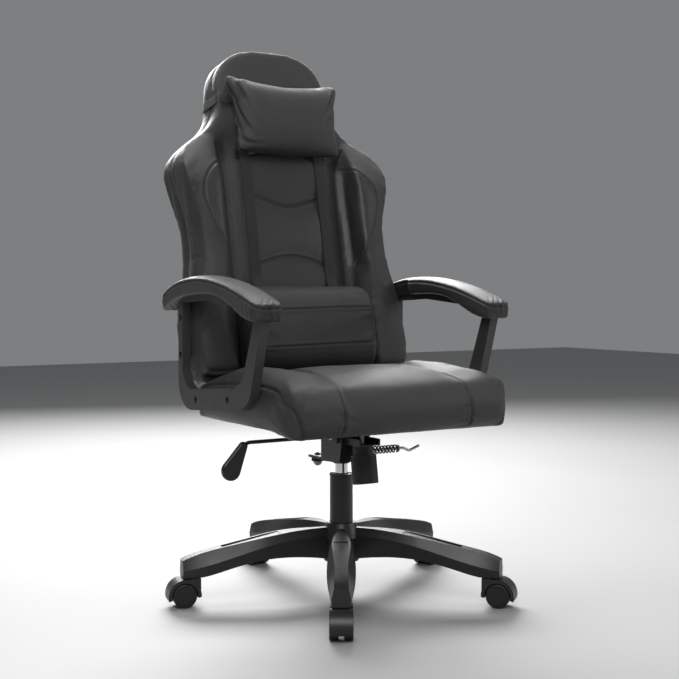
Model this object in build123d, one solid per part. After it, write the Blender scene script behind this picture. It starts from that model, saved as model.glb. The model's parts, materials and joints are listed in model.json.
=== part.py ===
from build123d import *
import os
from math import cos, sin, tan, atan2, degrees, radians

# Gaming chair on a five-star base. Millimetres, +Z up, origin on the floor under the swivel axis.
# The chair faces -Y, so the sitter's right is -X.
os.makedirs("parts", exist_ok=True)

# driving dimensions
fit = 0.05                      # radial running clearance of pins, axles and bearings
leg_count = 5
first_leg_angle = -122          # heading of leg 1 from +X
stem_radius = 325               # caster stems stand on this circle
wheel_radius = 25
wheel_width = 18
wheel_gap = 5                   # from the caster's middle to each wheel
caster_trail = 21
hood_top = 60.5
column_radius = 25
column_bottom, column_top = 74, 261
cylinder_radius = 14
rod_radius = 5
housing_wall = 3
housing_half_width = 36
axle_y, axle_z = -30, 345       # tilt axle
axle_radius = 6
bolt_y, bolt_z, bolt_lean = -84, 332, 9     # top of the tension sleeve and lean of its axis
lever_z = 343
lock_y, lock_z = -40, 311
stop_y = 100
board_bottom, board_thick = 383, 12
board_half_width = 222
board_front, board_rear = -212, 172
recline = 12                    # lean of the backrest from the vertical
back_height_datum = 500
back_front_y, back_split_y, back_rear_y = 170, 214, 260
bolster_y = 122
back_bottom = 452
arm_inner, arm_outer = 272, 292
pad_inner, pad_outer = 250, 315
strap_lift = 3.2                # straps clear the slot trims
slope = tan(radians(recline))


def write(shape, name):
    """Keep one node: a solid or a group of separate solids."""
    group = shape if isinstance(shape, Compound) else Compound(children=[*shape.solids()])
    export_step(group, f"parts/{name}.step")


def tube(outer, inner, low, high):
    ring = Pos(0, 0, low) * extrude(Circle(outer) - Circle(inner), high - low)
    return ring


def rod(radius, low, high):
    return Pos(0, 0, low) * extrude(Circle(radius), high - low)


def cross_rod(radius, start, end, y, z):
    """A round bar along X."""
    return Pos(start, y, z) * extrude(Plane.YZ * Circle(radius), end - start)


def block(x0, x1, y0, y1, z0, z1):
    return Pos((x0 + x1) / 2, (y0 + y1) / 2, (z0 + z1) / 2) * Box(x1 - x0, y1 - y0, z1 - z0)


def coil(radius, wire, height, turns):
    """A coil spring standing on z = 0."""
    path = Helix(pitch=(height - 2 * wire) / turns, height=height - 2 * wire, radius=radius)
    start = path @ 0
    section = Plane(origin=start, z_dir=path % 0) * Circle(wire)
    return Pos(0, 0, wire) * sweep(section, path, is_frenet=True)


def leg_headings():
    return [first_leg_angle + 360 / leg_count * k for k in range(leg_count)]


# ---------------------------------------------------------------- base and column
def leg_section(reach, low, shoulder, high, foot_half, wide_half, top_half):
    corners = [(-foot_half, low), (foot_half, low), (wide_half, shoulder),
               (top_half, high), (-top_half, high), (-wide_half, shoulder)]
    return Plane(origin=(reach, 0, 0), x_dir=(0, 1, 0), z_dir=(1, 0, 0)) * make_face(Polyline(*corners, close=True))


def leg():
    """One arched leg along +X, with a sunk panel in its top and a stem socket at its tip."""
    stations = [
        (12, 76, 132, 148, 16, 20, 10),
        (75, 86, 130, 146, 16, 20, 10),
        (150, 90, 122, 140, 20, 26, 19),
        (230, 80, 104, 126, 23, 29, 15),
        (300, 63, 86, 113, 21, 26, 13),
        (350, 61.5, 76, 97, 17, 19, 14),
    ]
    body = loft([leg_section(*station) for station in stations])
    panel_start, panel_end, panel_depth = 140, 268, 2
    panel_fall = degrees(atan2(24, panel_end - panel_start))
    outline = Polyline((0, -15), (panel_end - panel_start, -9), (panel_end - panel_start, 9), (0, 15), close=True)
    cut = extrude(make_face(outline), 20)
    cut = Pos(panel_start, 0, 142 - panel_depth) * Rot(0, panel_fall, 0) * cut
    body &= block(0, 400, -60, 60, hood_top + 1, 200)
    return body - cut - Pos(stem_radius, 0, 0) * rod(5.5 + fit, 50, 84)


def star_base():
    hub = rod(38, column_bottom, 128) + Pos(0, 0, 124) * extrude(Circle(44), 2)
    hub += Pos(0, 0, 126 + 15) * Cone(44, 31, 30)
    base = hub
    for heading in leg_headings():
        base += Rot(0, 0, heading) * leg()
    return base - rod(column_radius, 0, 200)


def column_tube():
    wall = 2
    shell = tube(column_radius, column_radius - wall, column_bottom, column_top)
    floor = tube(column_radius - wall, rod_radius + 1, column_bottom, column_bottom + 5)
    rim = tube(column_radius + 1, column_radius, column_top - 4, column_top)
    return shell + floor + rim


def column_bush():
    return tube(column_radius - 2, cylinder_radius + fit, 176, column_top - 1)


def thrust_bearing():
    return tube(15, rod_radius + 0.5, column_bottom + 5 + fit, column_bottom + 12)


def piston_rod():
    """Rod with a shoulder on the bearing, the piston at its top and a clip in a groove below."""
    shaft = rod(rod_radius, column_bottom - 8, 212) + rod(9, column_bottom + 12, column_bottom + 16)
    groove = tube(rod_radius, rod_radius - 1, column_bottom - 4, column_bottom - 2)
    clip = tube(9, rod_radius - 1, column_bottom - 4, column_bottom - 2)
    clip -= block(-2, 2, -12, 0, column_bottom - 5, column_bottom - 1)
    shaft = shaft + rod(11.95, 208, 218) - groove
    return Compound(children=[shaft.solid(), clip.solid()])


def gas_cylinder():
    """Closed steel cylinder that slides on the fixed piston; its thin top sits in the mechanism."""
    low, high = 112, 322
    body = rod(cylinder_radius, low, high)
    bore = rod(12, low + 8, high - 26)
    return body - bore - rod(rod_radius + 0.2, low, low + 8) - rod(4 + fit, high - 20, high)


def valve_button():
    return rod(4, 308, 337)


# ---------------------------------------------------------------- caster
def caster_hood():
    """Twin-wheel hood about its axle: a fender over both wheels, a middle web and the stem block."""
    half_width, web_half = 22.5, 4.3
    outer, inner = 34.5, 27
    side = Plane.XZ
    ring = Circle(outer) - Circle(inner)
    keep = make_face(Polyline((0, 0), (60, -16), (60, 60), (-60, 60), (-60, -4), close=True))
    fender = extrude(side * (ring & keep), half_width, both=True)
    web = extrude(side * ((Circle(inner + 1) & Pos(0, 9) * Rectangle(80, 36))), web_half, both=True)
    corner = block(-33, -10, -half_width, half_width, -4, hood_top - wheel_radius)
    corner -= Rot(90, 0, 0) * Cylinder(inner, 2 * half_width + 2)
    hood = fender + web + corner
    hood -= Rot(90, 0, 0) * Cylinder(4, 60)
    return hood - Pos(-caster_trail, 0, 0) * rod(5.5, 21, 60)


def caster_pins():
    """Steel stem with its grip ring, and the axle, as two pieces in one node."""
    stem = Pos(-caster_trail, 0, 0) * (rod(5.5, 21, 58) + tube(8, 5.5, hood_top - 25 + 0.1, hood_top - 25 + 0.8))
    axle = Rot(90, 0, 0) * Cylinder(4, 2 * (wheel_gap + wheel_width) - 4)
    return Compound(children=[stem.solid(), axle.solid()])


def caster_wheel(side):
    """Nylon wheel with a ring groove in its outer face and a hollow back."""
    wheel = extrude(Circle(wheel_radius), wheel_width)
    wheel = fillet(wheel.edges().filter_by(GeomType.CIRCLE), 2.5)
    wheel -= Pos(0, 0, wheel_width - 1.2) * extrude(Circle(20.5) - Circle(18.5), 2)
    wheel -= rod(4 + fit, -1, wheel_width - 1.8)
    wheel -= tube(19, 9, -1, 9)
    return Rot(90 * -side, 0, 0) * Pos(0, 0, wheel_gap) * wheel


def place_caster(shape, heading):
    reach = stem_radius + caster_trail
    return Rot(0, 0, heading) * Pos(reach, 0, wheel_radius) * shape


# ---------------------------------------------------------------- tilt mechanism
def mechanism_housing():
    """Open-topped steel tray with the cylinder's taper socket, a nose in front and a tongue behind."""
    outline = Polyline((-57.5, 332), (-50, 292), (20, 288), (26, 290), (26, 345), (-57.5, 349), close=True)
    inner = Polyline((-54, 335), (-47.5, 295), (20, 291), (23, 293), (23, 360), (-54, 360), close=True)
    width, nose, tongue = housing_half_width, 26, 15
    tray = extrude(Plane.YZ * make_face(outline), width, both=True)
    tray -= extrude(Plane.YZ * make_face(inner), width - housing_wall, both=True)
    tray += block(-nose, nose, -113, -57, 332, 335)
    for side in (-1, 1):
        x0, x1 = sorted((side * nose, side * (nose - housing_wall)))
        tray += block(x0, x1, -113, -58, 334, 346)
    tray += block(-tongue, tongue, 16, 116, 284, 290)
    socket = rod(cylinder_radius + 4, 284, 324) - rod(cylinder_radius, 280, 330)
    tray = tray - rod(cylinder_radius + 4, 284, 330) + socket
    tray -= cross_rod(8, -50, 50, axle_y, axle_z)
    tray -= cross_rod(5.5, -50, -20, 0, lever_z)
    tray -= cross_rod(3.4, 20, 50, lock_y, lock_z)
    tray -= on_bolt(rod(7, -12, 12))
    tray -= Pos(0, stop_y, 0) * rod(4, 280, 310)
    return tray + tension_sleeve()


def on_bolt(shape):
    """From the tension bolt's own frame, origin at the sleeve's top, to the chair's."""
    return Pos(0, bolt_y, bolt_z) * Rot(-bolt_lean, 0, 0) * shape


def tension_sleeve():
    sleeve = tube(23, 21, -38, 0)
    return on_bolt(sleeve) - block(-40, 40, bolt_y - 60, bolt_y + 60, bolt_z, bolt_z + 20)


def tension_knob():
    """Ribbed cup that slides over the sleeve; its floor is threaded on the bolt."""
    ribs, outer, low, high = 36, 27.5, -82, -21
    cup = rod(outer, low, high) - rod(24.4, low + 6, high)
    cup = chamfer(cup.edges().group_by(Axis.Z)[0].filter_by(GeomType.CIRCLE).sort_by(SortBy.LENGTH)[-1:], 1.5)
    groove = Pos(outer + 0.5, 0, low + 4) * extrude(Circle(1.4), high - low - 8)
    for k in range(ribs):
        cup -= Rot(0, 0, 360 / ribs * k) * groove
    return on_bolt(cup - rod(5 + fit, low, low + 6))


def spring_washer():
    return on_bolt(tube(19, 5 + fit, -75.9, -73.5))


def tension_spring():
    return on_bolt(Pos(0, 0, -73) * coil(15, 2.5, 69, 6))


def spring_bolt():
    return on_bolt(rod(5, -79, 42) + rod(9, 42, 48))


def tilt_axle():
    return cross_rod(axle_radius, -47, 47, axle_y, axle_z)


def axle_bushes():
    bushes = [cross_rod(8, side * 36 - 2.2, side * 36 + 2.2, axle_y, axle_z)
              - cross_rod(axle_radius + fit, -60, 60, axle_y, axle_z) for side in (-1, 1)]
    return Compound(children=[bush.solid() for bush in bushes])


def stop_bolt():
    dome = Pos(0, stop_y, 275) * Sphere(10) & block(-12, 12, stop_y - 12, stop_y + 12, 260, 276)
    return dome + Pos(0, stop_y, 0) * (rod(4, 275, 296) + rod(7, 290, 294))


def stop_buffer():
    return Pos(0, stop_y, 0) * tube(14, 4, 276, 284)


def lever_rod():
    """Bent steel bar: out of the housing to the sitter's right, then down into the paddle."""
    bend = FilletPolyline((8, 0, lever_z), (-232, 0, lever_z), (-250, 0, lever_z - 31), radius=14)
    return sweep(Plane(origin=(8, 0, lever_z), z_dir=(-1, 0, 0)) * Circle(4), bend)


def lever_paddle():
    """Flat tapered grip, rounded at its wide end, around the rod's tip."""
    top_half, end_half, length, lean = 9, 21, 86, 30
    outline = make_hull([*(Pos(0, -top_half) * Circle(top_half)).edges(),
                         *(Pos(0, -length + end_half) * Circle(end_half)).edges()])
    grip = extrude(outline, 6, both=True)
    grip = fillet(grip.edges().filter_by(Plane.XY), 3.5)
    grip = Pos(-235, 0, lever_z + 1) * Rot(0, lean, 0) * Rot(90, 0, 0) * grip
    return grip - lever_rod()


def lock_rod():
    path = FilletPolyline((22, lock_y, lock_z), (136, lock_y, lock_z), (152, lock_y, lock_z - 7),
                          (178, lock_y, lock_z + 2), radius=5)
    bar = sweep(Plane(origin=(22, lock_y, lock_z), z_dir=(1, 0, 0)) * Circle(3), path)
    collar = cross_rod(8, 120, 122, lock_y, lock_z)
    return bar + collar


def lock_spring():
    spring = coil(7.5, 1.6, 80, 9)
    return Pos(39.5, lock_y, lock_z) * Rot(0, 90, 0) * spring


# ---------------------------------------------------------------- seat
def seat_plate():
    """Pressed steel plate under the board; two cheeks hang from it and carry the tilt axle."""
    low, thick = board_bottom - 4, 3.4
    plate = block(-100, 100, -112, 95, low, low + thick)
    plate -= block(-24, 24, 20, 80, low - 1, low + 5)
    for side in (-1, 1):
        cheek = extrude(Plane.YZ * make_face(Polyline((-62, low), (-46, 333), (-16, 333), (4, low), close=True)), 3)
        plate += Pos(38.5 if side > 0 else -41.5, 0, 0) * cheek
    plate -= cross_rod(axle_radius, -60, 60, axle_y, axle_z)
    for x, y in plate_bolt_places():
        plate -= Pos(x, y, 0) * rod(4, low - 1, low + 6)
    head_y, floor_thick = bolt_y + 7, 5.5
    hanger = block(-16, 16, head_y - 24, head_y + 18, low - 13, low + 1)
    pocket = block(-10.5, 10.5, head_y - 21, head_y + 13, low - 13 + floor_thick, low + 10)
    slot = block(-5.8, 5.8, head_y - 16, head_y + 9, low - 20, low + 10)
    return plate + hanger - pocket - slot


def plate_bolt_places():
    return [(x, y) for x in (-80, 80) for y in (-92, 75)]


def plate_bolts_and_nuts():
    """Four pan-head bolts and the tee nuts that they screw into."""
    low, top = board_bottom - 4, board_bottom + board_thick
    pieces = []
    for x, y in plate_bolt_places():
        pieces.append(Pos(x, y, 0) * (rod(4, low - 0.1, board_bottom + 10) + rod(7.5, low - 5, low)))
        pieces.append(Pos(x, y, 0) * (tube(5.2, 4, top - 9, top) + tube(10, 4, top, top + 1.5)))
    return Compound(children=[piece.solid() for piece in pieces])


def board_outline():
    length = board_rear - board_front
    middle = (board_rear + board_front) / 2
    return Pos(0, middle) * RectangleRounded(2 * board_half_width, length, 50)


def seat_board():
    board = Pos(0, 0, board_bottom) * extrude(board_outline(), board_thick)
    for x, y in plate_bolt_places():
        board -= Pos(x, y, 0) * (rod(4, 0, 500) + rod(5.2, board_bottom + 3, 500))
    return board


def dust_cover():
    cover = Pos(0, 0, board_bottom - 0.6) * extrude(board_outline(), 0.6)
    return cover - block(-104, 104, -116, 99, 370, 390)


def seat_cushion():
    """Waterfall-fronted foam seat that falls to the rear, with a pocket for the board under it."""
    side = Polyline((-238, 370), (-262, 392), (-262, 428), (-236, 470), (-170, 492), (-60, 500), (20, 490),
                    (110, 466), (165, 448), (192, 430), (192, 384), (-150, 384), close=True)
    body = extrude(Plane.YZ * make_face(side), 272, both=True)
    body = fillet(body.edges().filter_by(Axis.X).filter_by(lambda e: e.center().Z > 425), 14)
    plan = Pos(0, -35) * RectangleRounded(2 * 270, 458, 60)
    body &= Pos(0, 0, 350) * extrude(plan, 200)
    crown = extrude(Plane.XZ * make_face(side_crown()), 400, both=True)
    body &= crown
    body -= Pos(0, 0, 370) * extrude(board_outline(), board_bottom + board_thick - 370)
    for x, y in plate_bolt_places():
        body -= Pos(x, y, 0) * rod(10, 390, board_bottom + board_thick + 1.5)
    return body - arm_bracket_space() - arm_bolt_space()


def side_crown():
    """The seat's section across the chair: rounded at both sides, slightly crowned on top."""
    return (Line((-270, 400), (-270, 440)) + ThreePointArc((-270, 440), (-255, 474), (-215, 488))
            + ThreePointArc((-215, 488), (0, 501), (215, 488)) + ThreePointArc((215, 488), (255, 474), (270, 440))
            + Line((270, 440), (270, 400)) + ThreePointArc((270, 400), (262, 378), (235, 366))
            + Line((235, 366), (-235, 366)) + ThreePointArc((-235, 366), (-262, 378), (-270, 400)))


# ---------------------------------------------------------------- backrest
def back_point(y_datum, z):
    return y_datum + slope * (z - back_height_datum)


def back_half_outline():
    """Right half of the backrest's outline as half-width and height, from the bottom up."""
    return [(250, 456), (266, 490), (270, 545), (267, 610), (252, 675), (242, 740), (244, 800), (257, 855),
            (268, 905), (267, 940), (245, 978), (205, 1006), (174, 1034), (156, 1065), (149, 1100), (146, 1140),
            (138, 1168), (121, 1192), (92, 1211), (50, 1220)]


def back_face():
    """Backrest outline drawn in its own leaning plane: x across, y up the slope."""
    half = [(x, back_rise(z)) for x, z in back_half_outline()]
    left = [(-x, v) for x, v in half]
    right_curve = Spline(*half)
    left_curve = Spline(*left)
    top = ThreePointArc(half[-1], (0, half[-1][1] + 1.5), left[-1])
    bottom = ThreePointArc(half[0], (0, half[0][1] - 4), left[0])
    return make_face(right_curve + left_curve + top + bottom)


def on_back(depth, shape):
    """From the backrest's split plane (x across, y up the slope, z forwards) to the chair's frame."""
    origin = (0, back_point(back_split_y, back_bottom), back_bottom)
    plane = Plane(origin=origin, x_dir=(1, 0, 0), z_dir=(0, -cos(radians(recline)), sin(radians(recline))))
    return plane * Pos(0, 0, depth) * shape


def along(depth):
    return depth * cos(radians(recline))


def back_rise(z, depth=0):
    """Distance up the slope of a height on the face that stands depth in front of the split plane."""
    return (z - back_bottom - depth * sin(radians(recline))) / cos(radians(recline))


front_depth = along(back_split_y - back_front_y)
rear_depth = along(back_rear_y - back_split_y)
bolster_depth = along(back_split_y - bolster_y)


def back_slots():
    """The two pass-through slots under the headrest."""
    right = extrude(slot_outline(), 140, both=True)
    return right + mirror(right, Plane.YZ)


def back_frame_path():
    inset = [(0, 26), (236, 26), (240, 160), (218, 300), (244, 440), (232, 500), (112, 590), (108, 730), (0, 748)]
    return inset


def back_frame():
    right = back_frame_path()
    left = [(-x, v) for x, v in reversed(right[1:-1])]
    points = [(x, v, 0) for x, v in right[1:]] + [(x, v, 0) for x, v in left]
    path = FilletPolyline(*points, radius=30, close=True)
    start = path @ 0
    section = Plane(origin=start, z_dir=path % 0) * Circle(9)
    return on_back(0, sweep(section, path))


def back_cushion():
    """Front foam with its cover: flat middle, raised side bolsters, half a groove for the frame."""
    middle = extrude(back_face(), front_depth)
    wings = extrude(back_face(), bolster_depth) & (wing_block(1) + wing_block(-1))
    wings -= extrude(Plane.YZ * make_face(shoulder_fall()), 300, both=True)
    return on_back(0, middle + wings - back_slots()) - back_frame()


def shoulder_fall():
    """Side view of what is cut from the bolsters' tops, so that they run out at the shoulders."""
    start, end = back_rise(880), back_rise(1012)
    return Polyline((start, bolster_depth + 1), (start + 40, bolster_depth - 8), (end, front_depth),
                    (end + 90, front_depth), (end + 90, bolster_depth + 1), close=True)


def wing_block(side):
    """Prism that keeps the bolster on one side, with a sloping inner flank."""
    outline = Polyline((160, 0), (184, 88), (300, 88), (300, 0), close=True)
    flank = extrude(Plane.XZ * make_face(outline), -545)
    flank = Pos(0, 20, 0) * flank
    return flank if side > 0 else mirror(flank, Plane.YZ)


def back_panel():
    """Rear shell and cover, with the other half of the frame's groove."""
    body = extrude(back_face(), -rear_depth) - back_slots()
    return on_back(0, body) - back_frame()


def slot_outline():
    inner_x, outer_x, height = 26, 118, 17
    inner_v, outer_v = back_rise(984, front_depth), back_rise(968, front_depth)
    return make_face(Polyline((inner_x, inner_v), (inner_x, inner_v + height), (outer_x - 6, outer_v + height),
                              (outer_x, outer_v), close=True))


def slot_trims():
    ring = extrude(offset(slot_outline(), 5, kind=Kind.ARC) - slot_outline(), 3)
    placed = [on_back(front_depth, item) for item in (ring, mirror(ring, Plane.YZ))]
    return Compound(children=[item.solid() for item in placed])


# ---------------------------------------------------------------- pillows and straps
def headrest_pillow():
    """Flat cushion with drawn-out corners against the headrest."""
    low, high = back_rise(972, front_depth), back_rise(1142, front_depth)
    outline = Polyline((-127, low), (0, low - 4), (138, low), (148, high), (0, high - 12), (-138, high), close=True)
    body = fillet(extrude(make_face(outline), 64).edges(), 12)
    return on_back(front_depth + strap_lift + 2, body)


def lumbar_pillow():
    """Bolster across the small of the back, flat behind and round in front."""
    low, high, half_width, depth = back_rise(463, front_depth), back_rise(662, front_depth), 160, 85
    section = Polyline((low, 0.3), (low, depth), (high, depth), (high, 0.3), close=True)
    body = extrude(Plane.YZ * make_face(section), half_width, both=True)
    long_edges = body.edges().filter_by(Axis.X)
    body = fillet(long_edges.filter_by(lambda e: e.center().Z > 40), 64)
    ends = [e for e in body.edges() if abs(abs(e.center().X) - half_width) < 1 and e.center().Z > 1]
    body = fillet(ends, 13)
    return on_back(front_depth, body)


def lumbar_strap(side):
    """Flat webbing from the lumbar pillow's top, through its slot and down the rear of the backrest."""
    width, thick, top_x, foot_x = 26, 1.4, 100, 98
    front, rear = front_depth + strap_lift, -rear_depth - 0.4
    sill_v = back_rise(977, front_depth)
    pillow_v, tail_v = back_rise(672, front_depth), 385
    face = make_face(Polyline((foot_x - width / 2, pillow_v), (foot_x + width / 2, pillow_v),
                              (top_x + width / 2, sill_v), (top_x - width / 2, sill_v), close=True))
    strap = Pos(0, 0, front) * extrude(face, thick)
    strap += block(top_x - width / 2, top_x + width / 2, sill_v - thick, sill_v, rear - thick, front + thick)
    strap += block(top_x - width / 2, top_x + width / 2, tail_v, sill_v, rear - thick, rear)
    return strap if side > 0 else mirror(strap, Plane.YZ)


def strap_slider():
    """Ladder-lock slider on the strap's tail behind the backrest."""
    rear, thick = -rear_depth - 0.4, 1.4
    frame = Box(38, 26, 2.2) - Pos(0, 6, 0) * Box(30, 4, 6) - Pos(0, -6, 0) * Box(30, 4, 6)
    return Pos(100, 430, rear - thick - 1.2) * frame


def headrest_strap():
    """Elastic band round the headrest that holds its pillow."""
    middle, tall, thick, half_width = back_rise(1097), 22, 1.2, 154
    outer = block(-half_width - thick, half_width + thick, middle - tall / 2, middle + tall / 2,
                  -rear_depth - 0.3 - thick, front_depth + 0.3 + thick)
    inner = block(-half_width, half_width, middle - tall, middle + tall, -rear_depth - 0.3, front_depth + 0.3)
    return on_back(0, outer - inner)


# ---------------------------------------------------------------- arms
def pad_profile():
    """Side view of an arm pad: arched, low at both ends."""
    top = Spline((-199, 632), (-150, 651), (-50, 677), (70, 690), (190, 676), (262, 642))
    foot = Spline((256, 612), (180, 638), (60, 650), (-50, 640), (-130, 608), (-190, 597))
    return top + Line((262, 642), (256, 612)) + foot + Line((-190, 597), (-199, 632))


def arm_pad(side):
    """Foam pad on the loop's arch, shaved where it runs beside the backrest."""
    pad = extrude(Plane.YZ * make_face(pad_profile()), pad_outer - pad_inner)
    pad = Pos(pad_inner if side > 0 else -pad_outer, 0, 0) * pad
    plan = Pos(side * (pad_inner + pad_outer) / 2, 31.5) * RectangleRounded(pad_outer - pad_inner, 461, 26)
    pad &= Pos(0, 0, 580) * extrude(plan, 130)
    return pad - on_back(0, extrude(back_face(), 140, both=True))


def arm_frame(side):
    """Closed loop of moulded nylon: sloping bottom bar, rear post on the backrest, raked front post."""
    outer = Polyline((206, 660), (206, 404), (140, 402), (-84, 419), (-128, 440), (-196, 660), close=True)
    inner = Polyline((185, 632), (185, 442), (122, 448), (-64, 462), (-100, 482), (-148, 606), (-60, 628), (60, 638),
                     close=True)
    outer_face = soften(make_face(outer), [(206, 404, 62), (-84, 419, 40), (-128, 440, 40)])
    inner_face = soften(make_face(inner), [(185, 442, 45), (-64, 462, 30), (-100, 482, 30), (60, 638, 40)])
    loop = extrude(Plane.YZ * (outer_face - inner_face), arm_outer - arm_inner)
    loop = Pos(arm_inner if side > 0 else -arm_outer, 0, 0) * loop
    loop -= arm_pad(side)
    loop -= block(-400, 400, -300, 300, 652, 700)
    loop = loop.solids().sort_by(SortBy.VOLUME)[-1]
    for y, z in arm_bolt_places():
        loop -= cross_rod(4, side * (arm_inner - 1), side * (arm_outer + 1), y, z)
        loop -= cross_rod(7, side * (arm_outer - 9), side * (arm_outer + 1), y, z)
    return loop


def soften(face, corners):
    """Round named corners of a flat face, each with its own radius."""
    for y, z, radius in corners:
        vertex = face.vertices().sort_by_distance(Vector(y, z, 0))[0]
        face = fillet(vertex, radius)
    return face


def arm_bolt_places():
    return [(119, 425), (-31, 436), (195.5, 518), (195.5, 598)]


def arm_bolt(side, y, z):
    reach = 228 if z < 500 else 246
    shank = cross_rod(4, side * reach, side * (arm_outer - 9), y, z)
    head = cross_rod(6.6, side * (arm_outer - 9), side * (arm_outer - 4), y, z)
    socket = Pos(side * (arm_outer - 4), y, z) * Rot(0, 90 * side, 0) * extrude(RegularPolygon(2.9, 6), -3)
    return shank + head - socket


def arm_bolts():
    bolts = [arm_bolt(side, y, z) for side in (-1, 1) for y, z in arm_bolt_places()]
    return Compound(children=[bolt.solid() for bolt in bolts])


def arm_bolt_space():
    space = None
    for side in (-1, 1):
        for y, z in arm_bolt_places():
            hole = cross_rod(4, side * 226, side * arm_inner, y, z)
            space = hole if space is None else space + hole
    return space


def arm_bracket(side):
    """Steel angle on the seat board that the arm's two lower bolts screw into."""
    top = board_bottom + board_thick
    x0, x1 = sorted((side * 232, side * 236))
    foot0, foot1 = sorted((side * 200, side * 232))
    angle = block(x0, x1, -70, 150, top - 12, top + 56) - block(x0, x1, -70, 150, top - 12, top)
    angle += block(foot0, foot1, -70, 150, top, top + 4)
    for y, z in arm_bolt_places()[:2]:
        angle -= cross_rod(4, x0 - 1, x1 + 1, y, z)
    return angle


def arm_brackets():
    return Compound(children=[arm_bracket(side).solid() for side in (-1, 1)])


def arm_bracket_space():
    top = board_bottom + board_thick
    return (block(232, 236, -70, 150, top, top + 56) + block(200, 232, -70, 150, top, top + 4)
            + block(-236, -232, -70, 150, top, top + 56) + block(-232, -200, -70, 150, top, top + 4))


# ---------------------------------------------------------------- files
def write_casters():
    for number, heading in enumerate(leg_headings(), start=1):
        write(place_caster(caster_hood(), heading), f"caster_{number}_hood")
        write(place_caster(caster_pins(), heading), f"caster_{number}_stem_and_axle")
        write(place_caster(caster_wheel(1), heading), f"caster_{number}_wheel_a")
        write(place_caster(caster_wheel(-1), heading), f"caster_{number}_wheel_b")


def write_all():
    single = [star_base, column_tube, column_bush, thrust_bearing, piston_rod, gas_cylinder,
              valve_button, mechanism_housing, tension_knob, spring_washer, tension_spring,
              spring_bolt, tilt_axle, axle_bushes, stop_bolt, stop_buffer, lever_rod, lever_paddle, lock_rod,
              lock_spring, seat_plate, plate_bolts_and_nuts, seat_board, dust_cover, seat_cushion, back_frame,
              slot_trims, headrest_pillow, headrest_strap, lumbar_pillow, arm_bolts, arm_brackets]
    for make in single:
        write(make(), make.__name__)
    bolt_space = arm_bolt_space()
    write(back_cushion() - bolt_space, "back_cushion")
    write(back_panel() - bolt_space, "back_panel")
    for side, name in ((-1, "right"), (1, "left")):
        write(arm_frame(side), f"armrest_frame_{name}")
        write(arm_pad(side), f"armrest_pad_{name}")
    straps = [on_back(0, lumbar_strap(side)) for side in (-1, 1)]
    write(Compound(children=[strap.solid() for strap in straps]), "lumbar_straps")
    sliders = [on_back(0, strap_slider()), on_back(0, mirror(strap_slider(), Plane.YZ))]
    write(Compound(children=[slider.solid() for slider in sliders]), "strap_sliders")
    write_casters()


write_all()
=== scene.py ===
import bpy
import bmesh
import json
import math
import numpy as np
from mathutils import Matrix, Vector
from mathutils.bvhtree import BVHTree
from mathutils.kdtree import KDTree


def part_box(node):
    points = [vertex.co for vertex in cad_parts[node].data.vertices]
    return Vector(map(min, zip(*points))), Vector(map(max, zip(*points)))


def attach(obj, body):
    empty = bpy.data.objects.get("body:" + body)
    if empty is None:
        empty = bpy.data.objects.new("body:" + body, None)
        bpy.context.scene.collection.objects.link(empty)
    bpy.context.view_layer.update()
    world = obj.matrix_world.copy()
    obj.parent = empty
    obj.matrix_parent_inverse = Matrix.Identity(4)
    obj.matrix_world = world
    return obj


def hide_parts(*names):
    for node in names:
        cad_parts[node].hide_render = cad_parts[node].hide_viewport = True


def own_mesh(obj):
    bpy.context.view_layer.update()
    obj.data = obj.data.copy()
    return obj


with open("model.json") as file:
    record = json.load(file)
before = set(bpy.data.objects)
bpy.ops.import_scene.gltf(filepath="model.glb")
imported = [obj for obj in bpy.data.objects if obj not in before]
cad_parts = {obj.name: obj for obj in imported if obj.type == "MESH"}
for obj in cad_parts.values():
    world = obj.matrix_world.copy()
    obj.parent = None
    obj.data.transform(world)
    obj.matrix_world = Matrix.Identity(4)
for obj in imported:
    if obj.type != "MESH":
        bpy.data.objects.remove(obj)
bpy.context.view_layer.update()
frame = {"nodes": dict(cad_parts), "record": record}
nodes = frame["nodes"]
print("frame loaded")


# ---- small helpers
def deselectAll():
    if bpy.context.mode != "OBJECT":
        bpy.ops.object.mode_set(mode="OBJECT")
    bpy.ops.object.select_all(action="DESELECT")


def pick(piece):
    deselectAll()
    bpy.context.view_layer.objects.active = piece
    piece.select_set(True)


def addModifier(piece, kind, **values):
    modifier = piece.modifiers.new(kind.title(), kind)
    for name, value in values.items():
        setattr(modifier, name, value)
    return modifier


def applyModifier(piece, kind, **values):
    modifier = addModifier(piece, kind, **values)
    pick(piece)
    bpy.ops.object.modifier_apply(modifier=modifier.name)


def getPoints(piece):
    points = np.empty(len(piece.data.vertices) * 3)
    piece.data.vertices.foreach_get("co", points)
    return points.reshape(-1, 3)


def setPoints(piece, points):
    piece.data.vertices.foreach_set("co", points.astype(np.float32).ravel())
    piece.data.update()


def getNormals(piece):
    normals = np.empty(len(piece.data.vertices) * 3)
    piece.data.vertices.foreach_get("normal", normals)
    return normals.reshape(-1, 3)


def smoothStep(low, high, value):
    t = np.clip((value - low) / (high - low), 0, 1)
    return t * t * (3 - 2 * t)


def bump(value, middle, width):
    return np.exp(-((value - middle) / width) ** 2)


def smoothCurve(points, spacing=0.003):  # points joined by a Catmull-Rom curve, evenly sampled
    p = np.array(points, float)
    p = np.vstack([2 * p[0] - p[1], p, 2 * p[-1] - p[-2]])
    out = []
    for a, b, c, d in zip(p[:-3], p[1:-2], p[2:-1], p[3:]):
        count = max(2, int(np.linalg.norm(c - b) / spacing))
        t = np.linspace(0, 1, count, endpoint=False)[:, None]
        out.append(0.5 * (2 * b + (c - a) * t + (2 * a - 5 * b + 4 * c - d) * t ** 2
                          + (3 * b - a - 3 * c + d) * t ** 3))
    out.append(p[-2][None])
    return np.vstack(out)


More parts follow.
